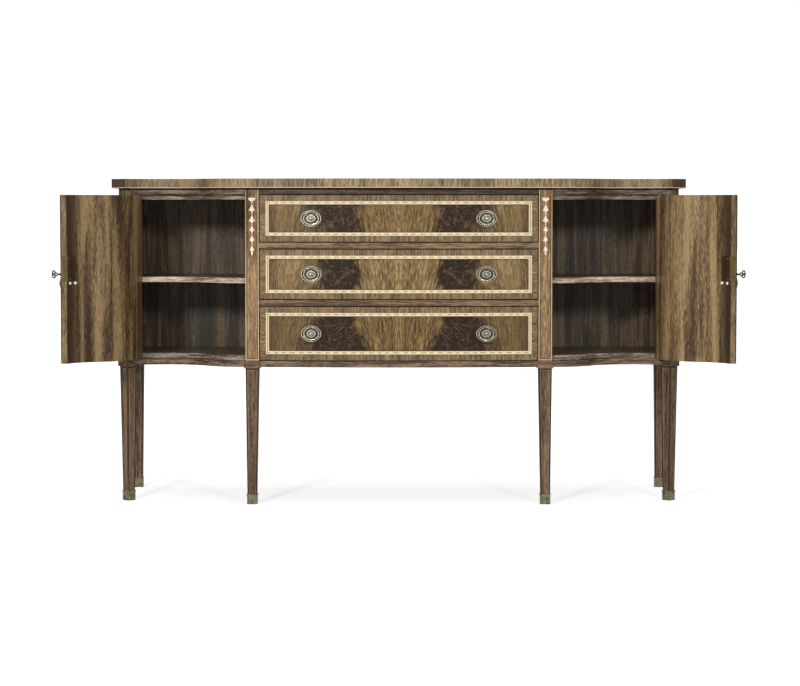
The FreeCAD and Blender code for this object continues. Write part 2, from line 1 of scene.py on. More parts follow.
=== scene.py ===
# %% [markdown]
# # A breakfront sideboard
# Three bowed drawers stand between two cupboards with serpentine doors, on six tapered legs.
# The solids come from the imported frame, so every piece already has its place and size.
# This lesson dresses them: it softens the arrises, veneers each face, inlays the lines and husks,
# and finishes the metalwork.

# %% Load the frame
import json
import math

import bmesh
import bpy
from mathutils import Matrix, Vector

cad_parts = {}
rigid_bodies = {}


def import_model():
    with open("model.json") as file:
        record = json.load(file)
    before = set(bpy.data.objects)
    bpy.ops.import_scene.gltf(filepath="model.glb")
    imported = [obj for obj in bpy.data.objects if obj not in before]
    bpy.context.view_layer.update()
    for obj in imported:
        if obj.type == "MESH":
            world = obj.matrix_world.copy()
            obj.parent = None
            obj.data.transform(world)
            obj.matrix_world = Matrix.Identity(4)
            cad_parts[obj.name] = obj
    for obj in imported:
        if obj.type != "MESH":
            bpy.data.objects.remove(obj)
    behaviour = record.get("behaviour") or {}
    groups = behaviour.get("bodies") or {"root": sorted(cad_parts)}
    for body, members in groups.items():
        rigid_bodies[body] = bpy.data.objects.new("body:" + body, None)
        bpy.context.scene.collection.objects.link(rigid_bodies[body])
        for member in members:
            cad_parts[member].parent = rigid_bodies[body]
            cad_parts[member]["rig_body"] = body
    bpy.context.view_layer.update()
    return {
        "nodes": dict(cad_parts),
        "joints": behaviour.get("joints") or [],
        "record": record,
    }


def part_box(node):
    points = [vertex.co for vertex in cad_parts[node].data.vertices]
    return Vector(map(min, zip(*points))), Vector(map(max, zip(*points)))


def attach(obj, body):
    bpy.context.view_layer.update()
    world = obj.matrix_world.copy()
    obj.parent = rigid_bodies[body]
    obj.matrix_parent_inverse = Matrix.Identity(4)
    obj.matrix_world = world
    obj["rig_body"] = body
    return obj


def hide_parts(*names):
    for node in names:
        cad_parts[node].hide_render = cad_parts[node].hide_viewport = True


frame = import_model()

nodes = frame["nodes"]
joints = {joint["name"]: joint for joint in frame["joints"]}
slot_of = {part["node"]: part["material_slot"] for part in frame["record"]["subparts"]}
MM = 0.001

# %% [markdown]
# ## Camera and studio
# The photograph is taken from seven metres away, a little below the level of the top, with a long lens.
# Two softboxes stand to the left and right behind the camera: they reach into the cupboards under the
# top, so the backs are lit only low down and next to the stiles. A third hangs overhead.

# %% Camera
camera_place = (3.6 * MM, -7.235, 0.860)
camera_pitch = math.radians(86.8)
camera_data = bpy.data.cameras.new("studio_camera")
camera_data.sensor_width = 36.0
camera_data.lens = 109.35
camera = bpy.data.objects.new("studio_camera", camera_data)
camera.location = camera_place
camera.rotation_euler = (camera_pitch, 0, 0)
bpy.context.scene.collection.objects.link(camera)
bpy.context.scene.camera = camera
bpy.context.scene.view_settings.view_transform = "Standard"
print("camera at", [round(c, 3) for c in camera.location])


# %% Softboxes
def softbox(name, place, aim, width, height, power):
    """Rectangular area light turned towards a point."""
    data = bpy.data.lights.new(name, "AREA")
    data.shape = "RECTANGLE"
    data.size = width
    data.size_y = height
    data.energy = power
    light = bpy.data.objects.new(name, data)
    light.location = place
    light.rotation_euler = (Vector(aim) - Vector(place)).to_track_quat("-Z", "Y").to_euler()
    bpy.context.scene.collection.objects.link(light)


aim_point = (0, 0, 0.6)
box_size = 0.7
softbox("left_softbox", (-2.2, -6.2, 2.6), aim_point, box_size, box_size, 188)
softbox("right_softbox", (2.2, -6.2, 2.6), aim_point, box_size, box_size, 114)
softbox("overhead_softbox", (0, -0.6, 4.2), (0, 0, 0), 5.0, 3.0, 70)
print("three softboxes")

# %% [markdown]
# ## Nodes
# Every finish is a tree of nodes. Written out one by one the nodes would hide the idea, so each of these
# short functions adds one kind of node to the tree that was started last, and gives back its result.

# %% Node helpers
trees = []
materials = []


def start_tree(tree):
    """Take a tree of nodes into work, without what was in it."""
    tree.nodes.clear()
    trees.append(tree)


def add(kind, inputs=None, **settings):
    """A shader node with its settings, and its inputs set to values or linked to sockets."""
    made = trees[-1].nodes.new("ShaderNode" + kind)
    for key, value in settings.items():
        setattr(made, key, value)
    for key, value in (inputs or {}).items():
        if isinstance(value, bpy.types.NodeSocket):
            trees[-1].links.new(value, made.inputs[key])
        else:
            made.inputs[key].default_value = value
    return made


def math_node(operation):
    """Function that gives the result of a Math node on numbers or sockets."""
    def result(*values):
        return add("Math", dict(enumerate(values)), operation=operation).outputs[0]
    return result


plus, minus, times, divided = map(math_node, ("ADD", "SUBTRACT", "MULTIPLY", "DIVIDE"))
times_plus, less, more = map(math_node, ("MULTIPLY_ADD", "LESS_THAN", "GREATER_THAN"))
lowest, highest = map(math_node, ("MINIMUM", "MAXIMUM"))
absolute, fraction, sign_of = map(math_node, ("ABSOLUTE", "FRACT", "SIGN"))


def vector_calc(operation, *vectors):
    """Outputs of a Vector Math node on vectors or sockets."""
    return add("VectorMath", dict(enumerate(vectors)), operation=operation).outputs


def mixed(share, first, second):
    """First colour with a share of the second over it."""
    return add("Mix", {0: share, 6: first, 7: second}, data_type="RGBA").outputs[2]


def ramped(value, low, high, start=0.0, end=1.0):
    """Value between two bounds, stretched between two others."""
    return add("MapRange", {0: value, 1: low, 2: high, 3: start, 4: end}).outputs[0]


def between(value, low, high):
    """Mask of the places where a value lies between two bounds."""
    return times(more(value, low), less(value, high))


def noise(place, stretch, detail=2.0, roughness=0.5, distortion=0.0):
    """Noise at a place, with its own frequency along each axis."""
    spread = vector_calc("MULTIPLY", place, stretch)[0]
    settings = {"Scale": 1.0, "Detail": detail, "Roughness": roughness, "Distortion": distortion}
    return add("TexNoise", {"Vector": spread, **settings}).outputs[0]


def vector(*parts):
    """Vector of three numbers or sockets."""
    return add("CombineXYZ", dict(enumerate(parts))).outputs[0]


def parts_of(place):
    """The three parts of a vector."""
    return add("SeparateXYZ", {0: place}).outputs


print("helpers ready")


# %% Groups and finishes
def node_group(name, inputs, outputs):
    """An empty group with named sockets, taken into work, and its input sockets."""
    tree = bpy.data.node_groups.new(name, "ShaderNodeTree")
    for way, sockets in (("INPUT", inputs), ("OUTPUT", outputs)):
        for label, kind in sockets.items():
            tree.interface.new_socket(label, in_out=way, socket_type="NodeSocket" + kind)
    trees.append(tree)
    return tree, tree.nodes.new("NodeGroupInput").outputs


def give(**results):
    """Link the results of the group in work to its output sockets."""
    outputs = trees[-1].nodes.new("NodeGroupOutput").inputs
    for label, value in results.items():
        trees[-1].links.new(value, outputs[label])


def start_finish(name):
    """Take a new material into work: the Object coordinate that its pattern reads."""
    materials.append(bpy.data.materials.new(name))
    materials[-1].use_nodes = True
    start_tree(materials[-1].node_tree)
    return add("TexCoord").outputs["Object"]


def end_finish(inputs):
    """The material in work, with a Principled shader of some inputs as its surface."""
    add("OutputMaterial", {"Surface": add("BsdfPrincipled", inputs).outputs[0]})
    return materials[-1]


def srgb(red, painted_lit_green, blue):
    """Linear colour of a tone given from 0 to 255."""
    tones = [tone / 255 for tone in (red, painted_lit_green, blue)]
    return tuple(t / 12.92 if t <= 0.04045 else ((t + 0.055) / 1.055) ** 2.4 for t in tones) + (1.0,)


print("groups and finishes ready")

# %% [markdown]
# ## World and floor
# The world shows as plain white to the camera but lights the wood much less, because a fully white
# surround would wash the grain out. The floor is a sheet of white paper that glows towards the camera,
# more so far away, so that it has no edge and keeps the soft shadows of the legs.

# %% World and floor
white = (1, 1, 1, 1)
paper_grey = (0.64, 0.64, 0.64, 1)
sky_light = 0.40
sky_shown = 1.05
floor_size = 40.0
floor_glow = (0.62, 1.0)
glow_reach = (1.0, 3.2)
world = bpy.data.worlds.new("white_studio")
bpy.context.scene.world = world
world.use_nodes = True
start_tree(world.node_tree)
strength = ramped(add("LightPath").outputs["Is Camera Ray"], 0.0, 1.0, sky_light, sky_shown)
sky_shader = add("Background", {"Color": white, "Strength": strength})
add("OutputWorld", {"Surface": sky_shader.outputs[0]})
work = bmesh.new()
bmesh.ops.create_grid(work, x_segments=1, y_segments=1, size=floor_size)
floor_mesh = bpy.data.meshes.new("studio_floor")
work.to_mesh(floor_mesh)
work.free()
floor = bpy.data.objects.new("studio_floor", floor_mesh)
bpy.context.scene.collection.objects.link(floor)
place = start_finish("white_paper")
whiter = ramped(vector_calc("LENGTH", place)["Value"], *glow_reach, *floor_glow)
glow = times(add("LightPath").outputs["Is Camera Ray"], whiter)
sheet = {"Base Color": paper_grey, "Roughness": 0.95, "Specular IOR Level": 0.0}
paper = end_finish({**sheet, "Emission Color": white, "Emission Strength": glow})
floor_mesh.materials.append(paper)
print("floor and world")

# %% [markdown]
# ## Mahogany grain
# The wood is old-looking mahogany: soft ribbons of brown and gold, fine fibres, and short dark pores.
# Photographs of veneer would not survive a change of size, so the grain is drawn by noise that is
# stretched along the fibres. One group serves every wooden face, with its own tones, ribbons and fibres.

# %% Grain group
ribbon_length = 0.05
fibre_length = 0.08
fleck_stretch = (560.0, 560.0, 60.0)
pore_stretch = (1100.0, 1100.0, 70.0)
fleck_share = 0.28
middle_tone = 0.50
tone_range = 0.075
pore_bounds = (0.56, 0.70)
pore_darkness = 0.75
pore_roughness = 0.25
wood_roughness = 0.36
fibre_height = 0.4
grain, given = node_group(
    "mahogany_grain",
    {"Place": "Vector", "Dark": "Color", "Middle": "Color", "Light": "Color",
     "Ribbons": "Float", "Fibres": "Float", "Figure": "Float"},
    {"Color": "Color", "Roughness": "Float", "Height": "Float"},
)


def along_grain(frequency, length):
    """Frequencies of a pattern that is drawn out along the grain."""
    return vector(frequency, frequency, times(frequency, length))


ribbon = noise(given["Place"], along_grain(given["Ribbons"], ribbon_length), 2.0, 0.5, 0.6)
fibre = noise(given["Place"], along_grain(given["Fibres"], fibre_length), 4.0, 0.65, 0.3)
fleck = noise(given["Place"], fleck_stretch, 1.0)
tone = ramped(given["Figure"], 0.0, 1.0, fibre, ribbon)
tone = times_plus(fleck, fleck_share, times(tone, 1.0 - fleck_share))
lighter = ramped(tone, middle_tone - tone_range, middle_tone)
lightest = ramped(tone, middle_tone, middle_tone + tone_range)
shaded = mixed(lightest, mixed(lighter, given["Dark"], given["Middle"]), given["Light"])
pore = ramped(noise(given["Place"], pore_stretch, 1.0), *pore_bounds, 0.0, pore_darkness)
give(
    Color=mixed(pore, shaded, given["Dark"]),
    Roughness=times_plus(pore, pore_roughness, wood_roughness),
    Height=minus(times(fibre, fibre_height), pore),
)
print("grain group with", len(grain.nodes), "nodes")

# %% Tones
# Dark, middle and light tone of each kind of veneer
mahogany = {
    "faded": ((76, 57, 38), (122, 98, 68), (158, 131, 96)),
    "border": ((80, 63, 42), (118, 97, 69), (150, 127, 94)),
    "edge": ((88, 68, 46), (136, 114, 83), (172, 148, 114)),
    "russet": ((92, 64, 40), (138, 102, 68), (172, 135, 96)),
    "stile": ((112, 86, 58), (154, 124, 88), (184, 156, 118)),
    "brown": ((64, 47, 32), (106, 84, 62), (138, 113, 86)),
    "rail": ((42, 29, 18), (66, 49, 33), (92, 73, 54)),
    "wing": ((56, 43, 32), (98, 79, 60), (142, 121, 98)),
    "divider": ((70, 53, 36), (111, 89, 63), (146, 121, 89)),
    "painted_lit_green": ((96, 92, 74), (132, 130, 110), (164, 162, 142)),
    "strip": ((70, 57, 46), (122, 106, 89), (178, 162, 142)),
    "gold": ((66, 46, 23), (115, 89, 52), (154, 126, 80)),
    "pale_gold": ((78, 57, 30), (133, 107, 67), (176, 148, 101)),
    "ribbon": ((54, 39, 26), (98, 77, 51), (142, 118, 83)),
    "painted_lit_ribbon": ((68, 50, 33), (118, 95, 64), (162, 137, 98)),
    "shadow": ((66, 58, 46), (93, 80, 63), (130, 109, 83)),
    "stained": ((26, 19, 13), (42, 31, 22), (60, 46, 33)),
    "lipping": ((126, 104, 85), (188, 166, 142), (226, 208, 186)),
    "lining": ((120, 98, 68), (164, 140, 104), (190, 168, 132)),
}
cream = srgb(224, 206, 168)
ebony = srgb(30, 21, 15)
black = srgb(9, 7, 5)
print(len(mahogany), "tones of mahogany")

# %% Wood material helpers
# The black line just below the top is painted shadow cast by the top; this is its lower edge.
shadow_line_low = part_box("top")[0].z - 5.0 * MM
mild_figure = 0.45
satin_coat = 0.1
satin_gloss = 0.22
pressed_flat = 0.1


def standing(place):
    """A place as it is, with the grain along Z."""
    return place


def lying(place):
    """A place turned so that the grain runs along X instead of Z."""
    x, y, z = parts_of(place)
    return vector(z, y, x)


def deep(place):
    """A place turned so that the grain runs along Y instead of Z."""
    x, y, z = parts_of(place)
    return vector(z, x, y)


def curved(place):
    """A lying place pressed flat from front to back, so that the grain follows a curved front."""
    x, y, z = parts_of(place)
    return vector(z, times(y, pressed_flat), x)


def veneer(place, tones, ribbons, fibres, figure=mild_figure):
    """Mahogany of one of the named tones at a place."""
    inputs = dict(zip(("Dark", "Middle", "Light"), [srgb(*tone) for tone in mahogany[tones]]))
    inputs.update({"Place": place, "Ribbons": ribbons, "Fibres": fibres, "Figure": figure})
    return add("Group", inputs, node_tree=grain).outputs


def lacquer(colour, wood, coat=satin_coat, gloss=satin_gloss, dull=0.0):
    """Satin lacquer over a colour, with the grain of its wood just felt through it, and rougher if dull."""
    bump = add("Bump", {"Strength": 0.12, "Distance": 0.4 * MM, "Height": wood["Height"]}).outputs[0]
    inputs = {"Base Color": colour, "Roughness": plus(wood["Roughness"], dull), "Normal": bump}
    return end_finish({**inputs, "Specular IOR Level": gloss, "Coat Weight": coat, "Coat Roughness": 0.16})


def shadow_under_top(colour, place):
    """A colour with a black line of painted shadow over it just below the top."""
    return mixed(more(parts_of(place)[2], shadow_line_low), colour, black)


def plain_wood(name, tones, ribbons, fibres, turned=standing, coat=satin_coat, gloss=satin_gloss, dull=0.0,
               figure=mild_figure, shadow_line=False):
    """Wood with one even grain, standing unless its place is turned, and rougher where its wax is dull."""
    place = start_finish(name)
    wood = veneer(turned(place), tones, ribbons, fibres, figure)
    # Some woods carry the black line of painted shadow just below the top.
    colour = shadow_under_top(wood["Color"], place) if shadow_line else wood["Color"]
    return lacquer(colour, wood, coat, gloss, dull)


print("satin coat", satin_coat, "and gloss", satin_gloss)

# %% Plain woods
upright_wood = plain_wood("upright_mahogany", "brown", 40.0, 190.0)
frieze_wood = plain_wood("frieze_mahogany", "rail", 60.0, 170.0, curved, shadow_line=True)
wing_wood = plain_wood("wing_mahogany", "wing", 110.0, 190.0, curved, 0.5, shadow_line=True)
rail_wood = plain_wood("rail_mahogany", "wing", 110.0, 190.0, curved)
divider_wood = plain_wood("divider_mahogany", "divider", 60.0, 200.0, curved)
# Faces in the gaps between pieces: stained dark, and darker still as painted shade.
stained_shaded_wood = plain_wood("stained_shaded_edge_wood", "stained", 60.0, 170.0, lying)
# The pale ribbons of the bay strips are grain, and are also spaced as painted highlights along their fronts.
strip_grain_and_highlights = plain_wood("bay_strip_mahogany", "strip", 130.0, 180.0, curved, 0.8)
inside_wood = plain_wood("inside_mahogany", "shadow", 60.0, 150.0, figure=0.75)
inside_level = plain_wood("inside_level_mahogany", "shadow", 50.0, 150.0, lying)
lipping_wood = plain_wood("shelf_lipping", "lipping", 110.0, 160.0, curved, 0.5)
lining_wood = plain_wood("drawer_lining_wood", "lining", 30.0, 160.0, lying, 0.0)
lining_deep = plain_wood("drawer_side_wood", "lining", 30.0, 160.0, deep, 0.0)
print("plain woods:", [m.name for m in bpy.data.materials if m.name.endswith(("mahogany", "wood"))])

# %% [markdown]
# ## Crossbanding, lines and crotch figure
# Each drawer front has a border of cross-grained veneer, then a band of two pale lines with a dashed
# core, a black line, and a field of upright grain with a dark crotch figure towards each end.
# The band is a set of distances from the edge, so a group works out the masks from the half width
# and half height of the front, and follows any front that it is given.
# The fibres lean into the crotch like the barbs of a feather, so a second group bends the coordinate.

# %% Inlay band group
# The outermost strip of each front is painted dark as shade from the gap around it.
edge_shade_width = 1.3 * MM
crossband_width = 18.2 * MM
line_width = 3.1 * MM
core_width = 2.8 * MM
ink_width = 1.9 * MM
dash_length = 25.0 * MM
dash_share = 0.55
wander_stretch = (18.0, 1.0, 18.0)
band, given = node_group(
    "inlay_band",
    {"Across": "Float", "Up": "Float", "Half Width": "Float", "Half Height": "Float"},
    {"Rim": "Float", "Crossband": "Float", "Side": "Float", "Line": "Float", "Dash": "Float", "Ink": "Float"},
)
from_side = minus(given["Half Width"], absolute(given["Across"]))
from_end = minus(given["Half Height"], absolute(given["Up"]))
inset = lowest(from_side, from_end)
side = less(from_side, from_end)
wander = noise(vector(given["Across"], 0.0, given["Up"]), wander_stretch, 1.0)
step = fraction(plus(divided(given["Across"], dash_length), wander))
starts = [crossband_width]
for width in (line_width, core_width, line_width, ink_width):
    starts.append(starts[-1] + width)
core = between(inset, starts[1], starts[2])
dash = highest(less(step, dash_share), side)
give(
    Rim=less(inset, edge_shade_width),
    Crossband=less(inset, starts[0]),
    Side=side,
    Line=between(inset, starts[0], starts[3]),
    Dash=times(core, dash),
    Ink=between(inset, starts[3], starts[4]),
)
print("inlay band from", starts[0] / MM, "to", round(starts[4] / MM, 1), "mm")

# %% Crotch figure group
spine = 188.0 * MM
steepest_lean = 0.26
lean_grows = (0.0, 60.0 * MM)
lean_fades = (90.0 * MM, 200.0 * MM)
fringe_stretch = (70.0, 1.0, 16.0)
drift_stretch = (9.0, 1.0, 16.0)
ray_stretch = (34.0, 1.0, 62.0)
inner_sway = (26.0 * MM, 12.0 * MM)
outer_sway = (20.0 * MM, 36.0 * MM)
sway_bounds = (0.3, 0.7)
inner_fade = (-92.0 * MM, -62.0 * MM)
outer_fade = (30.0 * MM, 92.0 * MM)
bulge_height = 45.0 * MM
bulge_rate = 9.0
ray_slope = 0.6
feather_bounds = (0.50, 0.82)
crotch, given = node_group(
    "crotch_figure",
    {"Place": "Vector", "Across": "Float", "Up": "Float", "Reach": "Float"},
    {"Bent": "Vector", "Shade": "Float", "Feather": "Float"},
)


def swayed(distance, sway):
    """A distance moved to and fro by the fringe and by the drift, each up to its own sway."""
    for pattern, most in zip((fringe, drift), sway):
        distance = plus(distance, ramped(pattern, *sway_bounds, -most, most))
    return distance


from_spine = minus(absolute(given["Across"]), spine)
spread = absolute(from_spine)
lean = times(sign_of(from_spine), steepest_lean)
lean = times(lean, ramped(spread, *lean_grows))
lean = times(lean, ramped(spread, *lean_fades, 1.0, 0.0))
bent = times_plus(lean, given["Up"], from_spine)
x, y, z = parts_of(given["Place"])
bent_place = vector(bent, 0.0, z)
fringe = noise(bent_place, fringe_stretch, 4.0, 0.65, 0.6)
drift = noise(vector(from_spine, 0.0, z), drift_stretch, 2.0, 0.5, 0.8)
bulge = times(minus(bulge_height, given["Up"]), given["Reach"])
inner = swayed(times_plus(bulge, bulge_rate, from_spine), inner_sway)
outer = swayed(minus(from_spine, given["Reach"]), outer_sway)
inner_edge = ramped(inner, *inner_fade)
outer_edge = ramped(outer, *outer_fade, 1.0, 0.0)
climb = minus(z, times(spread, ray_slope))
rays = noise(vector(from_spine, 0.0, climb), ray_stretch, 5.0, 0.65, 2.6)
give(Bent=bent_place, Shade=times(inner_edge, outer_edge), Feather=ramped(rays, *feather_bounds))
print("crotch figure at", round(spine / MM), "mm from the middle")

# %% Banded veneer
crotch_dark = srgb(30, 15, 2)
crotch_light = srgb(128, 92, 56)
end_tone = srgb(78, 58, 34)
end_span = (0.25, 0.37)
dash_tone = srgb(168, 138, 93)
edge_shade_share = 0.75
border_grain = ("border", 34.0, 280.0, 0.25)


def banded_veneer(name, place_of, low, high, tones="gold", reach=None, end_shade=0.0):
    """Crossbanded and inlaid front between two corners, with crotch figures if they have a reach.

    place_of gives its flat coordinate, with X across and Z up.
    """
    middle, half = (low + high) / 2, (high - low) / 2
    flat = place_of(start_finish(name))
    x, y, z = parts_of(flat)
    across = minus(x, middle.x)
    up = minus(z, middle.z)
    sizes = {"Across": across, "Up": up, "Half Width": half.x, "Half Height": half.z}
    masks = add("Group", sizes, node_tree=band).outputs
    if reach is not None:
        inputs = {"Place": flat, "Across": across, "Up": up, "Reach": reach}
        figure = add("Group", inputs, node_tree=crotch).outputs
        field = veneer(figure["Bent"], tones, 30.0, 230.0, 0.32)
        feathered = mixed(figure["Feather"], crotch_dark, crotch_light)
        near_end = ramped(absolute(across), *end_span, 0.0, end_shade)
        ground = mixed(near_end, field["Color"], end_tone)
        colour = mixed(figure["Shade"], ground, feathered)
    else:
        field = veneer(flat, tones, 26.0, 170.0)
        colour = field["Color"]
    borders = [veneer(way(flat), *border_grain)["Color"] for way in (standing, lying)]
    border = mixed(masks["Side"], *borders)
    for mask, tone in (("Crossband", border), ("Line", cream), ("Dash", dash_tone), ("Ink", ebony)):
        colour = mixed(masks[mask], colour, tone)
    # The edge strip of painted shade goes over everything else.
    return lacquer(mixed(times(masks["Rim"], edge_shade_share), colour, ebony), field)


# Tones, reach of the crotch figure and shade at the ends of each drawer
figure_of = {
    "drawer_top": ("gold", 6.0 * MM, 0.5),
    "drawer_middle": ("pale_gold", 0.0, 0.5),
    "drawer_bottom": ("gold", 30.0 * MM, 0.65),
}
drawer_veneer = {}
for name, figure in figure_of.items():
    drawer_veneer[name] = banded_veneer(name + "_veneer", standing, *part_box(name + "_front"), *figure)
print("drawer veneers:", list(drawer_veneer))

# %% [markdown]
# ## Doors
# The doors stand open in the frame, so their faces are turned away from the case.
# Turning the coordinate back about the hinge gives the flat place on a shut door, and the grain then
# stays upright and the bands stay parallel to the edges at any angle of the door.
# Inside, broad ribbons run up the veneer, with a band of painted shade beside the lock, and the right door
# is painted lighter where more light falls on it. The cap of the lock is let in flush: a strip of its bronze
# continues on the door, and the wall of its pocket is painted dark as shade.

# %% Door coordinates
door_turn = math.radians(-joints["door_right_hinge"]["range_deg"][0])
hinge = Vector(joints["door_right_hinge"]["pos_m"])
hinge.z = 0.0
shut_turn = Matrix.Rotation(-door_turn, 3, "Z")
shut_shift = hinge - shut_turn @ hinge
sides = {"right": 1.0, "left": -1.0}


def shut_place(sign):
    """Function that turns a door's coordinate back to the shut door on the right."""
    def turned(place):
        facing = vector_calc("MULTIPLY", place, (sign, 1.0, 1.0))[0]
        inputs = {"Vector": facing, "Location": shut_shift, "Rotation": (0, 0, -door_turn)}
        return add("Mapping", inputs).outputs[0]
    return turned


def facing_when_shut(normal, sign):
    """A direction on an open door, turned to where it looks on the shut right-hand door."""
    return shut_turn @ Vector((sign * normal.x, normal.y, normal.z))


def on_shut_door(point, sign):
    """A point of an open door, moved to where it is on the shut right-hand door."""
    return facing_when_shut(point, sign) + shut_shift


def on_open_door(point, sign):
    """A point of the shut right-hand door, moved to where it is on an open door."""
    turned = shut_turn.transposed() @ (Vector(point) - shut_shift)
    return Vector((sign * turned.x, turned.y, turned.z))


def box_of(points):
    """Lowest and highest corners of some points."""
    return [Vector([pick(axis) for axis in zip(*points)]) for pick in (min, max)]


def shut_box(node, sign):
    """Corners of a door's piece in the coordinates of the shut right-hand door."""
    return box_of([on_shut_door(vertex.co, sign) for vertex in nodes[node].data.vertices])


print("doors turn back by", round(math.degrees(door_turn)), "degrees")

# %% Door finishes
lock_shade_span = (20.0 * MM, 62.0 * MM)
lock_shade_tone = srgb(54, 39, 28)
lock_cap = (6.0 * MM, 43.0 * MM)
lock_cap_tone = srgb(54, 40, 15)
dark_line = 3.0 * MM
inner_veneer = -0.2160


def at_lock(from_edge, z, lock_level):
    """Mask of the cap of a lock and of the wall of its pocket."""
    return times(between(from_edge, *lock_cap), between(z, *lock_level))


def door_inside(name, sign, low, lock_level):
    """Ribbon-striped inner face of a door, with a different leaf of veneer on each side, and the right door
    painted lighter where more light falls on it.
    """
    flat = shut_place(sign)(start_finish(name))
    moved = vector_calc("ADD", flat, (sign, 0.0, sign))[0]
    # The right door's tone is a lighter copy of the ribbon veneer, painted as the light that falls on it.
    wood = veneer(moved, "painted_lit_ribbon" if sign > 0 else "ribbon", 30.0, 190.0, 0.66)
    x, y, z = parts_of(flat)
    from_edge = minus(x, low.x)
    # Painted shade beside the lock, fading away from the free edge.
    shade_beside_lock = ramped(from_edge, *lock_shade_span, 0.9, 0.0)
    colour = mixed(shade_beside_lock, wood["Color"], lock_shade_tone)
    colour = mixed(at_lock(from_edge, z, lock_level), colour, lock_cap_tone)
    return lacquer(colour, wood)


def door_edge(name, sign, low, lock_level):
    """Edge of a door: brown wood between dark lines where the outer and inner veneers meet it, and painted
    shade on the wall of the lock's pocket.
    """
    place = start_finish(name)
    wood = veneer(place, "divider", 40.0, 190.0)
    x, y, z = parts_of(shut_place(sign)(place))
    from_edge = minus(x, low.x)
    outside = less(y, low.y + dark_line)
    inside = times(more(y, inner_veneer), less(from_edge, dark_line))
    # The wall of the lock's pocket is painted dark as shade.
    pocket = at_lock(from_edge, z, lock_level)
    dark = plus(plus(outside, inside), pocket)
    return lacquer(mixed(dark, wood["Color"], ebony), wood)


door_finish = {}
for name, sign in sides.items():
    panel = f"door_{name}_panel"
    low, high = shut_box(panel, sign)
    front = banded_veneer(panel + "_veneer", shut_place(sign), low, high)
    lock_level = [corner.z for corner in shut_box(f"door_{name}_lock", sign)]
    inside = door_inside(panel + "_inside", sign, low, lock_level)
    door_finish[name] = [front, inside, door_edge(panel + "_edge", sign, low, lock_level)]
    print("door", name, "is", round(high.x - low.x, 3), "by", round(high.z - low.z, 3))

# %% [markdown]
# ## Legs and stiles
# A pale line edges each stile, with a dark one inside it, and the lines close above a moulded collar.
# Below the collar a dark line runs down both edges of the tapered leg, with a faint pale one beside it.
# On a square leg the distance of a point from the nearest arris is the difference of its two offsets
# from the middle of the leg, which holds for a taper and for a leg that stands at 45 degrees.

# %% Leg material
rail_low, rail_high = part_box("bottom_rail_centre")
collar_proud = 4.0 * MM
collar_top = rail_high.z
leg_top = rail_low.z - collar_proud
foot_shift = 2.0 * MM
sunned_up_to = 0.708
sunned_fade = 30.0 * MM
line_rise = 1.5 * MM
leg_grain = (45.0, 200.0)
post_slope = math.radians(40.0)
# Start and end of each line in mm from the arris, its strength and tone
leg_lines = ((0.6, 4.4, 1.0, srgb(48, 34, 24)), (4.4, 6.0, 0.45, srgb(160, 136, 110)))
stile_lines = ((0.8, 3.4, 0.8, srgb(206, 182, 142)), (3.4, 5.8, 0.85, srgb(50, 34, 22)))


def arris_distance(place, middle, turn, shift):
    """Distance of a place from the nearest arris of a square leg, mirrored left and right."""
    x, y, z = parts_of(place)
    wander = ramped(z, 0.0, leg_top, shift, 0.0)
    east = minus(minus(absolute(x), middle.x), wander)
    north = minus(y, middle.y)
    c, s = math.cos(turn), math.sin(turn)
    first = plus(times(east, c), times(north, s))
    second = minus(times(north, c), times(east, s))
    return absolute(minus(absolute(first), absolute(second)))


def lined(colour, distance, where, lines):
    """Lines side by side over a colour, where a mask allows them."""
    for start, end, strength, line_tone in lines:
        line = times(between(distance, start * MM, end * MM), where)
        colour = mixed(times(line, strength), colour, line_tone)
    return colour


def leg_veneer(name, middle, turn=0.0, shift=0.0, stile=False):
    """Upright grain with lines along the edges of a square leg, and level grain on its collar."""
    place = start_finish(name)
    z = parts_of(place)[2]
    inset = arris_distance(place, middle, turn, shift)
    wood = veneer(place, "brown", *leg_grain)
    below = less(z, leg_top)
    from_top = minus(leg_top, z)
    colour = lined(wood["Color"], lowest(inset, from_top), below, leg_lines)
    if stile:
        above = more(z, collar_top)
        sunned = ramped(z, sunned_up_to, sunned_up_to + sunned_fade, 1.0, 0.0)
        lighter = veneer(place, "stile", *leg_grain)["Color"]
        darker = veneer(place, "russet", *leg_grain)["Color"]
        colour = mixed(above, colour, mixed(sunned, darker, lighter))
        from_collar = minus(z, collar_top + line_rise)
        colour = lined(colour, lowest(inset, from_collar), above, stile_lines)
    level = veneer(lying(place), "brown", 60.0, 220.0)["Color"]
    colour = mixed(between(z, leg_top, collar_top), colour, level)
    # The black line just below the top is painted shadow.
    return lacquer(shadow_under_top(colour, place), wood)


leg_middle = {kind: sum(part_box(kind + "_leg_right"), Vector()) / 2 for kind in ("stile", "corner", "rear")}
stile_wood = leg_veneer("stile_veneer", leg_middle["stile"], 0.0, foot_shift, True)
corner_wood = leg_veneer("corner_leg_veneer", leg_middle["corner"], math.pi / 4)
rear_wood = leg_veneer("rear_leg_veneer", leg_middle["rear"])
place = start_finish("corner_post_face")
# Above the frieze the post's face has slanted grain, painted pale as a highlight.
sloping = add("Mapping", {"Vector": place, "Rotation": (0, post_slope, 0)}).outputs[0]
slanted = veneer(sloping, "painted_lit_green", 60.0, 200.0)
upright = veneer(place, "brown", *leg_grain)
at_frieze = more(parts_of(place)[2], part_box("frieze_rail_left")[0].z)
colour = mixed(at_frieze, upright["Color"], slanted["Color"])
# The painted shadow line below the top runs over the post as well.
post_wood = lacquer(shadow_under_top(colour, place), upright)
print("leg lines below", round(leg_top, 3), "and stile lines above", round(collar_top, 3))

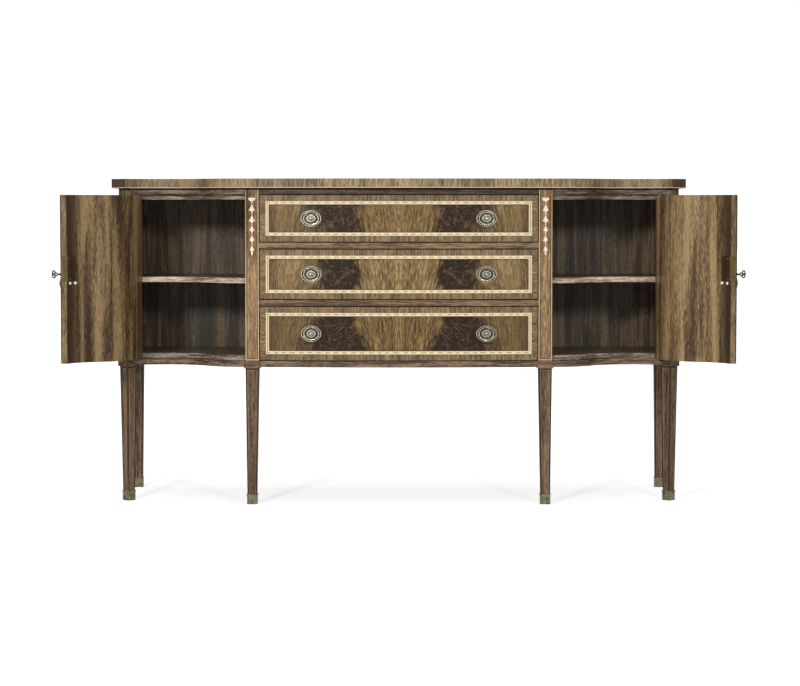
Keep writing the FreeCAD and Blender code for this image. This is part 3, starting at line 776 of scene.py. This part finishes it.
# %% [markdown]
# ## Top
# The edge of the top is crossbanded in upright pieces with joints between them, and a pale line
# runs along its lower arris. The canted corners are painted darker, as shade.
# The upper face has a wide crossband inside the edge, a pale line, and a field with the grain lengthwise.
# It is waxed and not lacquered, because a coat would mirror the softboxes at a low angle.

# %% Top finishes
top_low, top_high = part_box("top")
edge_joint = 0.558
end_piece_tone = srgb(92, 74, 50)
end_piece_share = 0.3
top_line_height = 2.4 * MM
top_line_tone = srgb(200, 188, 160)


def top_edge_veneer(name, tones):
    """Crossbanded edge with a pale line along the bottom."""
    place = start_finish(name)
    x, y, z = parts_of(place)
    edge = veneer(place, tones, 14.0, 260.0)
    outer = more(absolute(x), edge_joint)
    patched = mixed(times(outer, end_piece_share), edge["Color"], end_piece_tone)
    line = less(z, top_low.z + top_line_height)
    patched = mixed(line, patched, top_line_tone)
    return lacquer(patched, edge)


top_edge = top_edge_veneer("top_edge", "edge")
# The canted corners take a darker tone as painted shade.
shaded_top_cant = top_edge_veneer("shaded_top_cant", "rail")
waxed = {"coat": 0.0, "gloss": 0.02, "dull": 0.36}
top_field = plain_wood("top_field", "ribbon", 24.0, 110.0, lying, **waxed)
top_band = plain_wood("top_crossband", "faded", 30.0, 200.0, deep, **waxed)
top_end_band = plain_wood("top_end_crossband", "faded", 30.0, 200.0, lying, **waxed)
top_line = plain_wood("top_line", "lining", 30.0, 160.0, lying, **waxed)
print("top finishes ready")

# %% [markdown]
# ## Metalwork
# The pulls are silvered brass that has darkened in its hollows, the sleeves on the feet are plain antique
# brass, the locks have a brown bronze cap and a brass edge plate, and the keys are grey steel.
# A worn metal is never one colour, so noise mixes a bright and a dull tone and changes the polish with it.
# On the pulls the oval grooves are darkened, partly as tarnish and partly as painted shade, and so is the
# outer part of each ring, as painted shade in its gap; a mask follows the oval distance from the middle.
# The nuts behind the door pulls are painted white as a highlight, and are not metallic.

# %% Tarnish group
bright_roughness = 0.2
patch_roughness = 0.18
patch_bounds = (0.36, 0.66)
tarnish, given = node_group(
    "tarnish",
    {"Place": "Vector", "Bright": "Color", "Dull": "Color", "Size": "Float"},
    {"Color": "Color", "Roughness": "Float"},
)
scale = vector(given["Size"], given["Size"], given["Size"])
patch = ramped(noise(given["Place"], scale, 4.0, 0.6), *patch_bounds)
give(
    Color=mixed(patch, given["Bright"], given["Dull"]),
    Roughness=times_plus(patch, patch_roughness, bright_roughness),
)


def worn(place, bright, dull, size):
    """Tarnish outputs for a pair of tones."""
    inputs = {"Place": place, "Bright": bright, "Dull": dull, "Size": size}
    return add("Group", inputs, node_tree=tarnish).outputs


def metal_finish(colour, roughness, metallic=1.0):
    """Bare metal of a colour."""
    return end_finish({"Base Color": colour, "Roughness": roughness, "Metallic": metallic})


def old_metal(name, bright, dull, size, rougher=0.0):
    """Metal worn bright in some places and dull in others."""
    look = worn(start_finish(name), bright, dull, size)
    return metal_finish(look["Color"], plus(look["Roughness"], rougher))


silver_bright = srgb(220, 216, 198)
silver_dull = srgb(156, 150, 131)
silver_patches = 60.0
metals = {
    "antique_silvered_brass": old_metal("silvered_brass", silver_bright, silver_dull, silver_patches),
    "antique_brass": old_metal("sleeve_brass", srgb(186, 178, 146), srgb(112, 104, 80), 90.0),
    "lock_brass": old_metal("plate_brass", srgb(158, 140, 96), srgb(110, 94, 60), 90.0),
}
lock_bronze = old_metal("lock_bronze", srgb(120, 102, 66), srgb(84, 70, 44), 90.0, 0.3)
key_steel = old_metal("key_steel", srgb(104, 106, 103), srgb(48, 50, 49), 120.0, 0.1)
screw_steel = old_metal("screw_steel", srgb(196, 184, 158), srgb(120, 108, 86), 200.0)
print("metals:", list(metals), "and three more")

# %% Pull plates
# Oval bands darkened as tarnish and painted shade in the grooves, and on the rings as painted shade in their
# gap.
tarnish_and_shade_ovals = ((0.80, 0.915), (0.46, 0.67), (0.24, 0.31))
ring_shade = ((0.80, 1.2),)
dome_oval = (0.31, 0.46)
dome_share = 0.4
groove_shade_share = 0.95
groove_shade_tone = srgb(56, 51, 40)
nuts_behind = -0.2125
nut_highlight_tone = srgb(250, 246, 236)


def pull_finish(name, place_of, low, high, ovals=tarnish_and_shade_ovals, nuts=False):
    """Silvered metal darkened in its oval grooves, partly as tarnish and partly as painted shade, and nuts
    painted white as a highlight at the back of a door.
    """
    place = start_finish(name)
    x, y, z = parts_of(place_of(place))
    across = ramped(x, low.x, high.x, -1.0, 1.0)
    up = ramped(z, low.z, high.z, -1.0, 1.0)
    oval = vector_calc("LENGTH", vector(across, up, 0.0))["Value"]
    dark = 0.0
    for start, end in ovals:
        dark = plus(dark, between(oval, start, end))
    look = worn(place, silver_bright, silver_dull, silver_patches)
    dome = times(between(oval, *dome_oval), dome_share)
    colour = mixed(dome, look["Color"], silver_dull)
    colour = mixed(times(dark, groove_shade_share), colour, groove_shade_tone)
    metallic = 1.0
    # The nuts are painted white as a highlight, and are not metallic.
    if nuts:
        nut_highlight = more(y, nuts_behind)
        colour = mixed(nut_highlight, colour, nut_highlight_tone)
        metallic = minus(1.0, nut_highlight)
    return metal_finish(colour, look["Roughness"], metallic)


def mirrored(place):
    """A place with its left half folded over the right."""
    x, y, z = parts_of(place)
    return vector(absolute(x), y, z)


pull_finishes = {}
for name in drawer_veneer:
    node = name + "_pull_plates"
    low, high = box_of([vertex.co for vertex in nodes[node].data.vertices if vertex.co.x > 0])
    pull_finishes[node] = pull_finish(node, mirrored, low, high)
    shaded_ring = pull_finish(name + "_rings", mirrored, low, high, ring_shade)
    for part in sides:
        pull_finishes[name + "_ring_" + part] = shaded_ring
for name, sign in sides.items():
    node = f"door_{name}_pull_plate"
    low, high = shut_box(node, sign)
    pull_finishes[node] = pull_finish(node, shut_place(sign), low, high, nuts=True)
    ring = f"door_{name}_ring"
    pull_finishes[ring] = pull_finish(ring, shut_place(sign), low, high, ring_shade)
print("pull plates", [round(size, 4) for size in high - low])

# %% [markdown]
# ## Softened arrises
# Hand-finished wood has no knife-sharp corners: every arris is eased and catches a line of light.
# The solids are sharp, so each wooden node gets a copy with its doubled corners merged, its flat
# faces made whole and its arrises bevelled. The copy also takes a finish face by face.

# %% Copies of nodes
merge_distance = 0.005 * MM
flat_angle = math.radians(0.4)
sharp_angle = math.radians(35.0)
crease_angle = math.radians(50.0)
wood_arris = 0.8 * MM
rail_arris = 0.6 * MM
board_arris = 1.0 * MM
thick_arris = 1.2 * MM
metal_arris = 0.3 * MM
shortest_arris = 2.5 * MM
bevel_room = 2.2
to_room = -0.3
mostly = 0.5
dressed = []


def merged_copy(node, whole=True):
    """Bmesh of a node with merged corners and, if wanted, whole flat faces."""
    work = bmesh.new()
    work.from_mesh(nodes[node].data)
    for layer in list(work.loops.layers.float_vector.values()):
        work.loops.layers.float_vector.remove(layer)
    bmesh.ops.remove_doubles(work, verts=work.verts, dist=merge_distance)
    if whole:
        bmesh.ops.dissolve_limit(work, angle_limit=flat_angle, verts=work.verts, edges=work.edges)
    return work


def soften(work, width, shortest):
    """Bevel the sharp arrises that are long enough and have room for it at both ends."""
    sharp = [e for e in work.edges if e.is_manifold and e.calc_face_angle() > sharp_angle]
    crowded = {vertex for e in work.edges if e.calc_length() < bevel_room * width for vertex in e.verts}
    arrises = [e for e in sharp if e.calc_length() > shortest and crowded.isdisjoint(e.verts)]
    settings = {"offset_type": "OFFSET", "affect": "EDGES", "segments": 2, "profile": 0.5, "material": -1}
    bmesh.ops.bevel(work, geom=arrises, offset=width, clamp_overlap=True, **settings)


def finished_piece(work, name, finishes, body, stands_for=()):
    """Object of a finished bmesh that rides on a body and takes a slot."""
    mesh = bpy.data.meshes.new(name)
    for face in work.faces:
        face.smooth = True
    work.to_mesh(mesh)
    work.free()
    for finish in finishes:
        mesh.materials.append(finish)
    mesh.set_sharp_from_angle(angle=crease_angle)
    piece = bpy.data.objects.new(name, mesh)
    bpy.context.scene.collection.objects.link(piece)
    piece.modifiers.new("even_shading", "WEIGHTED_NORMAL").keep_sharp = True
    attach(piece, body)
    if stands_for:
        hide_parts(*stands_for)
    return piece


def only_finish(face):
    """The same finish all over."""
    return 0


def dress(node, finishes, choose=only_finish, width=wood_arris):
    """Copy of a node with a finish chosen for each face, softened if it has a width for that."""
    work = merged_copy(node, width > 0)
    for face in work.faces:
        face.material_index = choose(face)
    if width > 0:
        soften(work, width, shortest_arris)
    finished_piece(work, node + "_dressed", finishes, nodes[node]["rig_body"], [node])
    dressed.append(node)


def front_first(face):
    """First finish on what faces the room, second on the rest."""
    return 0 if face.normal.y < to_room else 1


def deep_second(face):
    """Second finish on faces that run from front to back."""
    low, high = box_of([vertex.co for vertex in face.verts])
    return 1 if high.y - low.y > high.x - low.x else 0


def inner_post_second(face):
    """Second finish on the face of a corner post that looks at the middle of the front."""
    middle = face.calc_center_median()
    inwards = face.normal.x * middle.x < 0 and face.normal.y < to_room
    return 1 if inwards and middle.z > collar_top else 0


print("copies merge corners closer than", round(merge_distance / MM, 3), "mm")

# %% Fronts, rails and legs
for name in drawer_veneer:
    dress(name + "_front", [drawer_veneer[name], stained_shaded_wood], front_first)
    dress(name + "_box", [lining_wood, lining_deep], deep_second, 0.0)
for part in ("left", "centre", "right"):
    frieze = frieze_wood if part == "centre" else wing_wood
    dress("frieze_rail_" + part, [frieze, stained_shaded_wood], front_first, rail_arris)
    dress("bottom_rail_" + part, [rail_wood, stained_shaded_wood], front_first, rail_arris)
for name in ("upper", "lower"):
    dress("drawer_divider_" + name, [divider_wood, stained_shaded_wood], front_first, thick_arris)
for name in sides:
    dress("stile_leg_" + name, [stile_wood])
    dress("corner_leg_" + name, [corner_wood, post_wood], inner_post_second)
    dress("rear_leg_" + name, [rear_wood])
print("dressed", len(dressed), "nodes")

# %% Boards of the cupboards
lip_to_room = -0.2


def lipped(face):
    """First finish on the front edge of a board, second on its faces."""
    return 0 if abs(face.normal.z) < mostly and face.normal.y < lip_to_room else 1


def outer_end(face):
    """First finish on the outer side of an end, second inside."""
    return 0 if abs(face.normal.x) > mostly and face.normal.x * face.calc_center_median().x > 0 else 1


for name in sides:
    for board in ("shelf", "bay_floor", "bay_ceiling"):
        lip = lipping_wood if board == "shelf" else strip_grain_and_highlights
        dress(board + "_" + name, [lip, inside_level], lipped, board_arris)
    dress("end_panel_" + name, [upright_wood, inside_wood], outer_end)
    dress("partition_" + name, [inside_wood])
dress("back_panel", [inside_wood])
print("dressed", len(dressed), "nodes")

# %% Door panels and locks
door_end = 0.85


def door_face(sign):
    """Chooser for the outer face, inner face and edges of a door."""
    def chosen(face):
        facing = facing_when_shut(face.normal, sign)
        if abs(facing.z) > mostly or abs(facing.x) > door_end:
            return 2
        return 0 if facing.y < 0 else 1
    return chosen


def lock_face(sign):
    """Chooser for the brass edge plate and the bronze cap of a lock."""
    def chosen(face):
        return 0 if facing_when_shut(face.normal, sign).x < -mostly else 1
    return chosen


for name, sign in sides.items():
    dress(f"door_{name}_panel", door_finish[name], door_face(sign))
    dress(f"door_{name}_lock", [metals["lock_brass"], lock_bronze], lock_face(sign), metal_arris)
print("doors dressed")

# %% Top
crossband_of_top = 33.0 * MM
line_of_top = 3.0 * MM
cant_slope = (0.3, 0.95)
cants_beyond = 0.75
top_finishes = [top_edge, shaded_top_cant, top_band, top_line, top_field, top_end_band]
EDGE, CANT, BAND, LINE, FIELD, END_BAND = range(len(top_finishes))


def top_face(face):
    """Edge, canted corner and flat faces of the top."""
    if abs(face.normal.z) > mostly:
        return FIELD
    x = face.calc_center_median().x
    outwards = abs(x) > cants_beyond and face.normal.x * x > 0
    return CANT if outwards and cant_slope[0] < abs(face.normal.x) < cant_slope[1] else EDGE


work = merged_copy("top")
for face in work.faces:
    face.material_index = top_face(face)
soften(work, thick_arris, shortest_arris)
upper = max(work.faces, key=lambda face: face.calc_area() * face.normal.z)
for finish, width in ((BAND, crossband_of_top), (LINE, line_of_top)):
    for face in bmesh.ops.inset_region(work, faces=[upper], thickness=width, use_even_offset=True)["faces"]:
        at_end = abs(face.calc_center_median().x) > top_high.x - crossband_of_top
        face.material_index = END_BAND if finish == BAND and at_end else finish
finished_piece(work, "top_dressed", top_finishes, "case", ["top"])
print("top dressed")

# %% [markdown]
# ## Husks
# A string of husks hangs down each stile: a fan, then husks that get smaller, each with a dot below.
# They are pale wood let into the veneer, so each is cut as half an outline, mirrored, and given a
# thickness that leaves it a hair proud of the stile.

# %% Husk shapes
fan_half = ((0, 7.0), (1.7, 3.4), (5.2, 4.8), (10.8, 3.6), (8.6, -1.8), (4.6, -5.2), (0, -6.4))
husk_half = (
    (0, 13.0), (2.4, 7.5), (4.9, 0.5), (9.2, -5.4), (6.0, -6.4), (3.6, -5.0), (2.4, -9.5), (0, -12.5),
)
bud_half = ((0, 12.0), (2.8, 5.5), (7.0, -3.2), (4.6, -4.4), (2.8, -3.8), (2.0, -8.0), (0, -11.0))
tail_half = ((0, 14.0), (2.6, 7.0), (6.6, -1.6), (3.0, -2.2), (2.4, -9.0), (1.8, -15.5), (0, -16.0))
# Half outline of each shape and the level of its middle, in mm
husks = (
    (fan_half, 882.5), (husk_half, 856.0), (husk_half, 825.0),
    (bud_half, 796.0), (bud_half, 767.5), (tail_half, 737.5),
)
dots = (872.6, 840.8, 810.2, 782.2, 754.0)
inlay_proud = 0.15 * MM
inlay_depth = 0.6 * MM
dot_radius = 1.9 * MM
husk_tone = srgb(244, 234, 210)
husk_share = 0.8
doubled = 0.01 * MM


def inlay_face(work, half_outline, height):
    """Flat shape of half an outline and its mirror image, centred at a height."""
    points = [work.verts.new((x * MM, 0.0, (z + height) * MM)) for x, z in half_outline]
    half = work.faces.new(points)
    bmesh.ops.mirror(work, geom=[half, *half.verts, *half.edges], axis="X", merge_dist=doubled)


def husk_string(name, middle_x, front_y, finish):
    """All the husks and dots of a stile in one mesh."""
    work = bmesh.new()
    for outline, height in husks:
        inlay_face(work, outline, height)
    upright = Matrix.Rotation(math.pi / 2, 4, "X")
    for height in dots:
        place = Matrix.Translation((0, 0, height * MM)) @ upright
        bmesh.ops.create_circle(work, cap_ends=True, segments=12, radius=dot_radius, matrix=place)
    bmesh.ops.remove_doubles(work, verts=work.verts, dist=doubled)
    made = bmesh.ops.extrude_face_region(work, geom=list(work.faces), use_keep_orig=True)["geom"]
    raised = [item for item in made if isinstance(item, bmesh.types.BMVert)]
    bmesh.ops.translate(work, verts=raised, vec=(0, -inlay_depth, 0))
    bmesh.ops.translate(work, verts=work.verts, vec=(middle_x, front_y + inlay_depth - inlay_proud, 0))
    bmesh.ops.recalc_face_normals(work, faces=work.faces)
    return finished_piece(work, name, [finish], "case")


pale = veneer(start_finish("husk_inlay"), "lining", 60.0, 300.0)
husk_wood = lacquer(mixed(husk_share, pale["Color"], husk_tone), pale)
stile_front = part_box("stile_leg_right")[0].y + collar_proud
for name, sign in sides.items():
    piece = husk_string("husks_" + name, sign * leg_middle["stile"].x, stile_front, husk_wood)
    print(piece.name, len(piece.data.polygons), "faces, front", round(stile_front, 4))

# %% [markdown]
# ## Lock screws
# Four small screws hold the cap of each lock. A turned head is a few points spun round its axis,
# placed on the shut door and then swung open with it.

# %% Screws
screw_profile = ((0.0, 0.9), (1.0, 0.8), (1.7, 0.35), (1.9, -0.4), (0.0, -0.4))
screw_inset = 6.0 * MM


def spun(work, points, pairs, axis, steps):
    """Points joined in pairs and turned round an axis: all the points of the shape."""
    before = set(work.verts) - set(points)
    edges = [work.edges.new(pair) for pair in pairs]
    turned = {"geom": points + edges, "cent": (0, 0, 0), "axis": axis, "angle": 2 * math.pi}
    bmesh.ops.spin(work, steps=steps, use_merge=True, **turned)
    return [vertex for vertex in work.verts if vertex not in before]


def swung_open(work, name, finish, node, sign):
    """Piece of a shape made on the shut door, swung open with it, on the body of a node."""
    for vertex in work.verts:
        vertex.co = on_open_door(vertex.co, sign)
    bmesh.ops.recalc_face_normals(work, faces=work.faces)
    return finished_piece(work, name, [finish], nodes[node]["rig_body"])


def screw_head(work, place):
    """A domed screw head that points into the cupboard of a shut door."""
    points = [work.verts.new((radius * MM, 0.0, height * MM)) for radius, height in screw_profile]
    made = spun(work, points, zip(points, points[1:]), (0, 0, 1), 16)
    bmesh.ops.rotate(work, verts=made, cent=(0, 0, 0), matrix=Matrix.Rotation(-math.pi / 2, 3, "X"))
    bmesh.ops.translate(work, verts=made, vec=place)


def lock_screws(name, sign):
    """The four screws of a lock cap in one mesh."""
    lock = f"door_{name}_lock"
    low, high = shut_box(lock, sign)
    work = bmesh.new()
    for x in (low.x + screw_inset, high.x - screw_inset):
        for z in (low.z + screw_inset, high.z - screw_inset):
            screw_head(work, (x, high.y, z))
    bmesh.ops.remove_doubles(work, verts=work.verts, dist=doubled)
    return swung_open(work, "lock_screws_" + name, screw_steel, lock, sign)


for name, sign in sides.items():
    piece = lock_screws(name, sign)
    print(piece.name, len(piece.data.polygons), "faces")

# %% [markdown]
# ## Key bows
# The bow of each key is a pierced trefoil that is narrow at the stem and widest at its outer end. The bow
# of the solid points the other way, so the copy of a key ends where its bow begins, and three thick rings
# with a small one at the tip take the bow's place. Each is an oval section spun round the middle of its eye.

# %% Key stems
bow_length = 19.1 * MM


def key_stem(name, sign):
    """Copy of a key that ends where its bow begins."""
    key = f"door_{name}_key"
    low, high = shut_box(key, sign)
    base = on_open_door(Vector((low.x, low.y + bow_length, low.z)), sign)
    inwards = on_open_door(Vector((low.x, high.y, low.z)), sign) - base
    work = merged_copy(key)
    geometry = [*work.verts, *work.edges, *work.faces]
    cut = bmesh.ops.bisect_plane(work, geom=geometry, plane_co=base, plane_no=inwards, clear_inner=True)
    rim = [item for item in cut["geom_cut"] if isinstance(item, bmesh.types.BMEdge)]
    bmesh.ops.edgeloop_fill(work, edges=rim)
    soften(work, metal_arris, 0.0)
    return finished_piece(work, key + "_dressed", [key_steel], nodes[key]["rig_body"], [key])


for name, sign in sides.items():
    piece = key_stem(name, sign)
    print(piece.name, len(piece.data.polygons), "faces")

# %% Trefoil bows
ring_section = (2.1 * MM, 1.5 * MM)
section_points = 12
# From the tip, up from the axis and outer radius of each ring, in mm
bow_rings = ((14.2, 0.0, 6.0), (7.2, 5.7, 6.2), (7.2, -5.7, 6.2), (4.4, 0.0, 4.4))


def eye_ring(work, place, radius):
    """Ring round an eye, with its axis across the thickness of the bow."""
    section = []
    for index in range(section_points):
        angle = index * 2 * math.pi / section_points
        across = radius - ring_section[0] + ring_section[0] * math.cos(angle)
        section.append(work.verts.new((ring_section[1] * math.sin(angle), across, 0.0)))
    made = spun(work, section, zip(section[-1:] + section[:-1], section), (1, 0, 0), 24)
    bmesh.ops.translate(work, verts=made, vec=place)


def trefoil(name, sign):
    """All the rings of a key's bow in one mesh."""
    key = f"door_{name}_key"
    low, high = shut_box(key, sign)
    centre = (low + high) / 2
    work = bmesh.new()
    for back, up, radius in bow_rings:
        eye_ring(work, (centre.x, low.y + back * MM, centre.z + up * MM), radius * MM)
    return swung_open(work, "trefoil_bow_" + name, key_steel, key, sign)


for name, sign in sides.items():
    piece = trefoil(name, sign)
    print(piece.name, len(piece.data.polygons), "faces")

# %% [markdown]
# ## Small parts
# The other fittings and the drawer runners keep the solids of the frame, because nothing in them needs a
# new shape: each takes a metal or a wood.

# %% Nodes that keep their solids
plain = {"drawer_runners": inside_level}
kept = [node for node, piece in nodes.items() if not piece.hide_render]
for node in kept:
    finish = pull_finishes.get(node) or metals.get(slot_of[node]) or plain[node]
    for slot in nodes[node].material_slots:
        slot.material = finish
print("solids kept:", kept)
